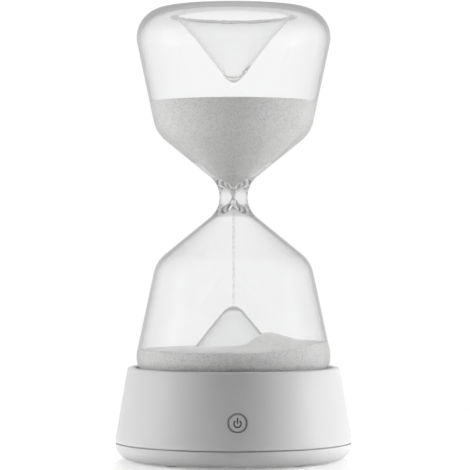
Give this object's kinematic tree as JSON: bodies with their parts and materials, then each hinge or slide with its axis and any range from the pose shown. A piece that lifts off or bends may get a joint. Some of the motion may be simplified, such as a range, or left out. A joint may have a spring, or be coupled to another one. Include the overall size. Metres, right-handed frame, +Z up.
{
  "type": "hourglass night light",
  "caption": "Clear double-bulb sandglass with dented ends standing in a round flared white lamp base with a front push button, rear charging socket and rubber feet.",
  "frame": {"origin": "on the table, under the lamp's axis, at the middle of the base's underside", "axes": "+Z up along the sandglass axis, -Y towards the push button, +Y towards the charging socket"},
  "size_m": [0.096, 0.096, 0.184],
  "materials": {
    "white_plastic": "fine satin moulding",
    "clear_glass": "clear and polished",
    "white_sand": "fine pale grains",
    "opal_plastic": "milky, satin",
    "grey_rubber": "matt",
    "white_foam": "soft closed-cell foam",
    "bright_steel": "bright plated",
    "white_board": "white solder mask",
    "green_board": "green solder mask",
    "led_phosphor": "yellow phosphor gel",
    "black_plastic": "moulded",
    "grey_ferrite": "sintered",
    "cream_plastic": "moulded",
    "silver_foil": "laminated foil pouch",
    "grey_foam": "foam tape",
    "red_wire_cover": "extruded insulation",
    "black_wire_cover": "extruded insulation"
  },
  "bodies": {
    "base": {"upper_casing": "white_plastic", "bottom_cover": "white_plastic", "light_box": "white_plastic", "diffuser": "opal_plastic", "foot_1": "grey_rubber", "foot_2": "grey_rubber", "foot_3": "grey_rubber", "foot_4": "grey_rubber", "seat_cushion": "white_foam", "cover_screw_1": "bright_steel", "cover_screw_2": "bright_steel", "cover_screw_3": "bright_steel", "cover_screw_4": "bright_steel", "light_box_screw_1": "bright_steel", "light_box_screw_2": "bright_steel", "light_box_screw_3": "bright_steel", "board_screw_1": "bright_steel", "board_screw_2": "bright_steel", "usb_shell": "bright_steel", "led_board": "white_board", "main_board": "green_board", "led_1": "led_phosphor", "led_2": "led_phosphor", "led_3": "led_phosphor", "led_4": "led_phosphor", "led_5": "led_phosphor", "led_6": "led_phosphor", "charge_led": "led_phosphor", "control_chip": "black_plastic", "charge_chip": "black_plastic", "usb_tongue": "black_plastic", "switch_body": "black_plastic", "power_inductor": "grey_ferrite", "battery_socket": "cream_plastic", "battery_plug": "cream_plastic", "battery": "silver_foil", "battery_tape": "grey_foam", "battery_wire_red": "red_wire_cover", "led_wire_red": "red_wire_cover", "battery_wire_black": "black_wire_cover", "led_wire_black": "black_wire_cover"},
    "hourglass": {"glass_bulb": "clear_glass", "upper_cup": "clear_glass", "lower_cup": "clear_glass", "fill_seal": "clear_glass", "sand_upper": "white_sand", "sand_stream": "white_sand", "sand_lower": "white_sand"},
    "button": {"button_cap": "white_plastic", "switch_plunger": "cream_plastic"}
  },
  "joints": [
    {"name": "hourglass_lift", "type": "slide", "parent": "base", "child": "hourglass", "axis": [0, 0, 1], "range_m": [0, 0.03]},
    {"name": "button_press", "type": "slide", "parent": "base", "child": "button", "axis": [0, 1, 0], "range_m": [0, 0.0006], "stiffness_N_per_m": 600}
  ]
}
